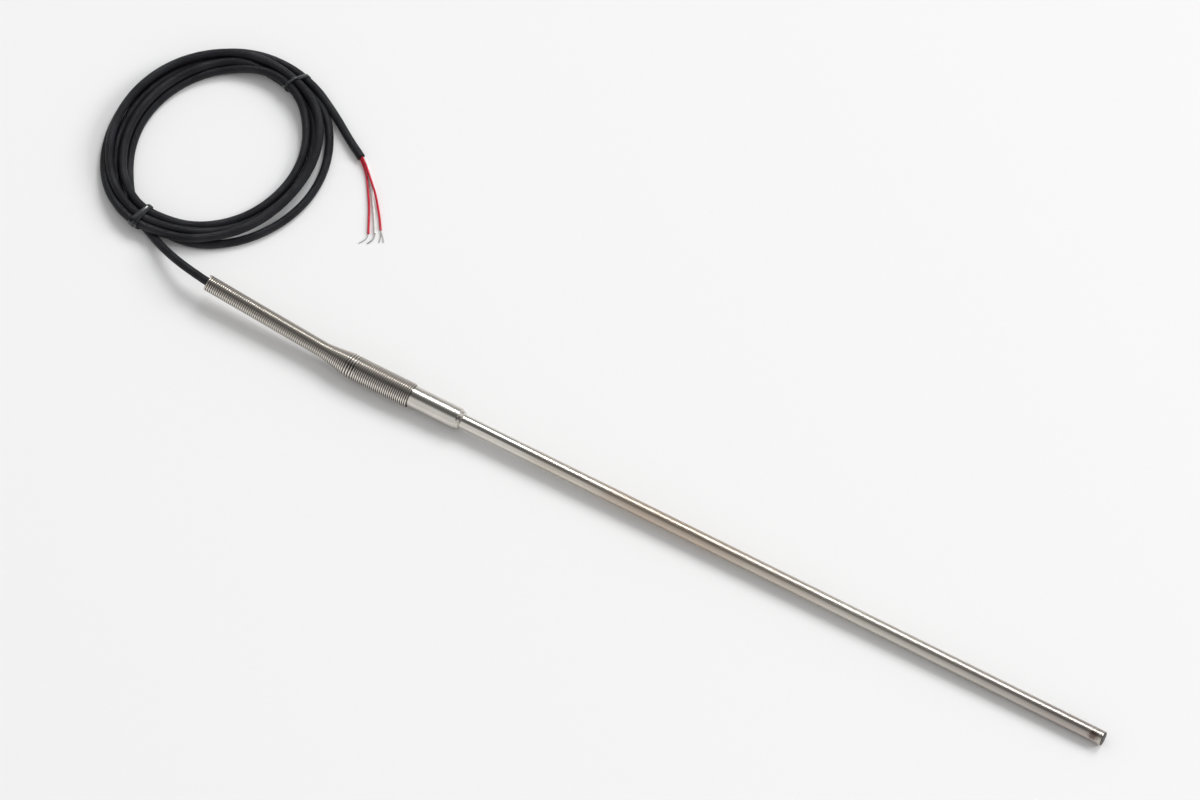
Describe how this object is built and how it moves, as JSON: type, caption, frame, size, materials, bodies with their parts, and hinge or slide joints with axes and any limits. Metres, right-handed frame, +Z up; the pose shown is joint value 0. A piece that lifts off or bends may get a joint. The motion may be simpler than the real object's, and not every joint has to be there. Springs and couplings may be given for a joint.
{
  "type": "tube-type rtd temperature probe with flying leads",
  "caption": "Slim steel temperature probe: closed sheath, transition sleeve, stepped strain-relief spring, and a black cable in a tied coil with stripped red and white leads.",
  "frame": {"origin": "on the probe's axis at the nose of the transition sleeve, where the insertion length starts", "axes": "+X along the sheath towards the tip, +Z up from the surface that the probe lies on; the sheath dips 0.4 degrees to rest on its tip"},
  "size_m": [0.5086, 0.1231, 0.0127],
  "materials": {
    "sheath_steel": "drawn and polished stainless steel, duller towards the tip",
    "polished_steel": "turned and polished stainless steel",
    "spring_steel": "bright drawn spring wire",
    "magnesia": "packed white powder",
    "element_ceramic": "fired ceramic",
    "bead_ceramic": "fired ceramic",
    "nickel_wire": "bare drawn wire",
    "crimp": "tinned copper barrel",
    "shrink_cover": "shrunk tube",
    "potting_resin": "cast resin",
    "cable_jacket": "matte black jacket",
    "tie_film": "glossy black tie",
    "lead_red": "red insulation",
    "lead_white": "white insulation",
    "bare_conductor": "tinned copper strands"
  },
  "bodies": {
    "root": {"sheath_tube": "sheath_steel", "tip_plug": "sheath_steel", "tip_filler": "magnesia", "sensing_element": "element_ceramic", "element_lead_1": "nickel_wire", "element_lead_2": "nickel_wire", "insulator_1": "bead_ceramic", "insulator_2": "bead_ceramic", "insulator_3": "bead_ceramic", "insulator_4": "bead_ceramic", "insulator_5": "bead_ceramic", "inner_wire_1": "nickel_wire", "inner_wire_2": "nickel_wire", "inner_wire_3": "nickel_wire", "splice_1": "crimp", "splice_2": "crimp", "splice_3": "crimp", "splice_cover_1": "shrink_cover", "splice_cover_2": "shrink_cover", "splice_cover_3": "shrink_cover", "core_1": "lead_red", "core_2": "lead_red", "core_3": "lead_white", "potting": "potting_resin", "transition_sleeve": "polished_steel", "relief_spring": "spring_steel", "cable_lead_in": "cable_jacket", "cable_coil": "cable_jacket", "cable_tail": "cable_jacket", "tie_1": "tie_film", "tie_2": "tie_film", "lead_red_1": "lead_red", "lead_red_2": "lead_red", "lead_white": "lead_white", "conductor_red_1": "bare_conductor", "conductor_red_2": "bare_conductor", "conductor_white": "bare_conductor"}
  },
  "joints": []
}
